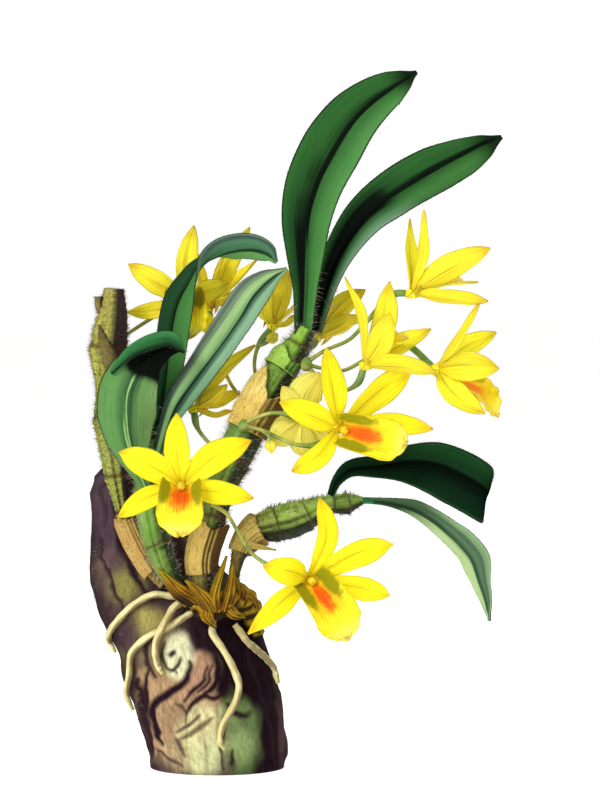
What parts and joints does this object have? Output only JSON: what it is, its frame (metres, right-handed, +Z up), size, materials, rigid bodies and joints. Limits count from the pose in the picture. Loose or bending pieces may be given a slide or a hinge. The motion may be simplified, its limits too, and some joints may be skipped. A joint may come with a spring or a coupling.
{
  "type": "dendrobium orchid",
  "caption": "Flowering yellow dendrobium orchid with hairy canes, leathery leaves and creeping aerial roots, growing on a cut piece of branch that stands on its sawn foot.",
  "frame": {"origin": "middle of the branch's flat sawn foot, on the surface it stands on", "axes": "+Z up along the plant, -Y towards the side the flowers face, +X to the right as seen from there"},
  "size_m": [0.1393, 0.0747, 0.2348],
  "materials": {
    "bark": "matte",
    "green_cane": "satin",
    "old_cane": "satin",
    "dry_sheath": "matte",
    "green_sheath": "matte",
    "rhizome": "matte",
    "dark_leaf": "satin",
    "pale_leaf": "satin",
    "tepal": "matte",
    "lip": "matte",
    "stalk": "satin",
    "root": "matte"
  },
  "bodies": {
    "root": {"log": "bark", "cane_main": "green_cane", "cane_side": "green_cane", "cane_short": "green_cane", "cane_old": "old_cane", "sheath_main_low": "dry_sheath", "sheath_main_high": "dry_sheath", "sheath_side": "dry_sheath", "sheath_old": "dry_sheath", "sheath_main_green": "green_sheath", "rhizome": "rhizome", "leaf_tall_left": "dark_leaf", "leaf_tall_right": "dark_leaf", "leaf_low_dark": "dark_leaf", "leaf_arching": "pale_leaf", "leaf_long": "pale_leaf", "leaf_broad": "pale_leaf", "leaf_low_pale": "pale_leaf", "bloom_1": "tepal", "bloom_2": "tepal", "bloom_3": "tepal", "bloom_4": "tepal", "bloom_5": "tepal", "bloom_6": "tepal", "bloom_7": "tepal", "bloom_8": "tepal", "bloom_9": "tepal", "bloom_10": "tepal", "bloom_11": "tepal", "bloom_12": "tepal", "lip_1": "lip", "lip_2": "lip", "lip_3": "lip", "lip_4": "lip", "lip_5": "lip", "lip_6": "lip", "lip_7": "lip", "lip_8": "lip", "lip_9": "lip", "lip_10": "lip", "lip_11": "lip", "lip_12": "lip", "spray_top": "stalk", "spray_middle": "stalk", "spray_back_left": "stalk", "stalk_8": "stalk", "stalk_11": "stalk", "stalk_3": "stalk", "stalk_1": "stalk", "stalk_7": "stalk", "stalk_10": "stalk", "root_far_left": "root", "root_left": "root", "root_inner": "root", "root_middle": "root", "root_right": "root"}
  },
  "joints": []
}
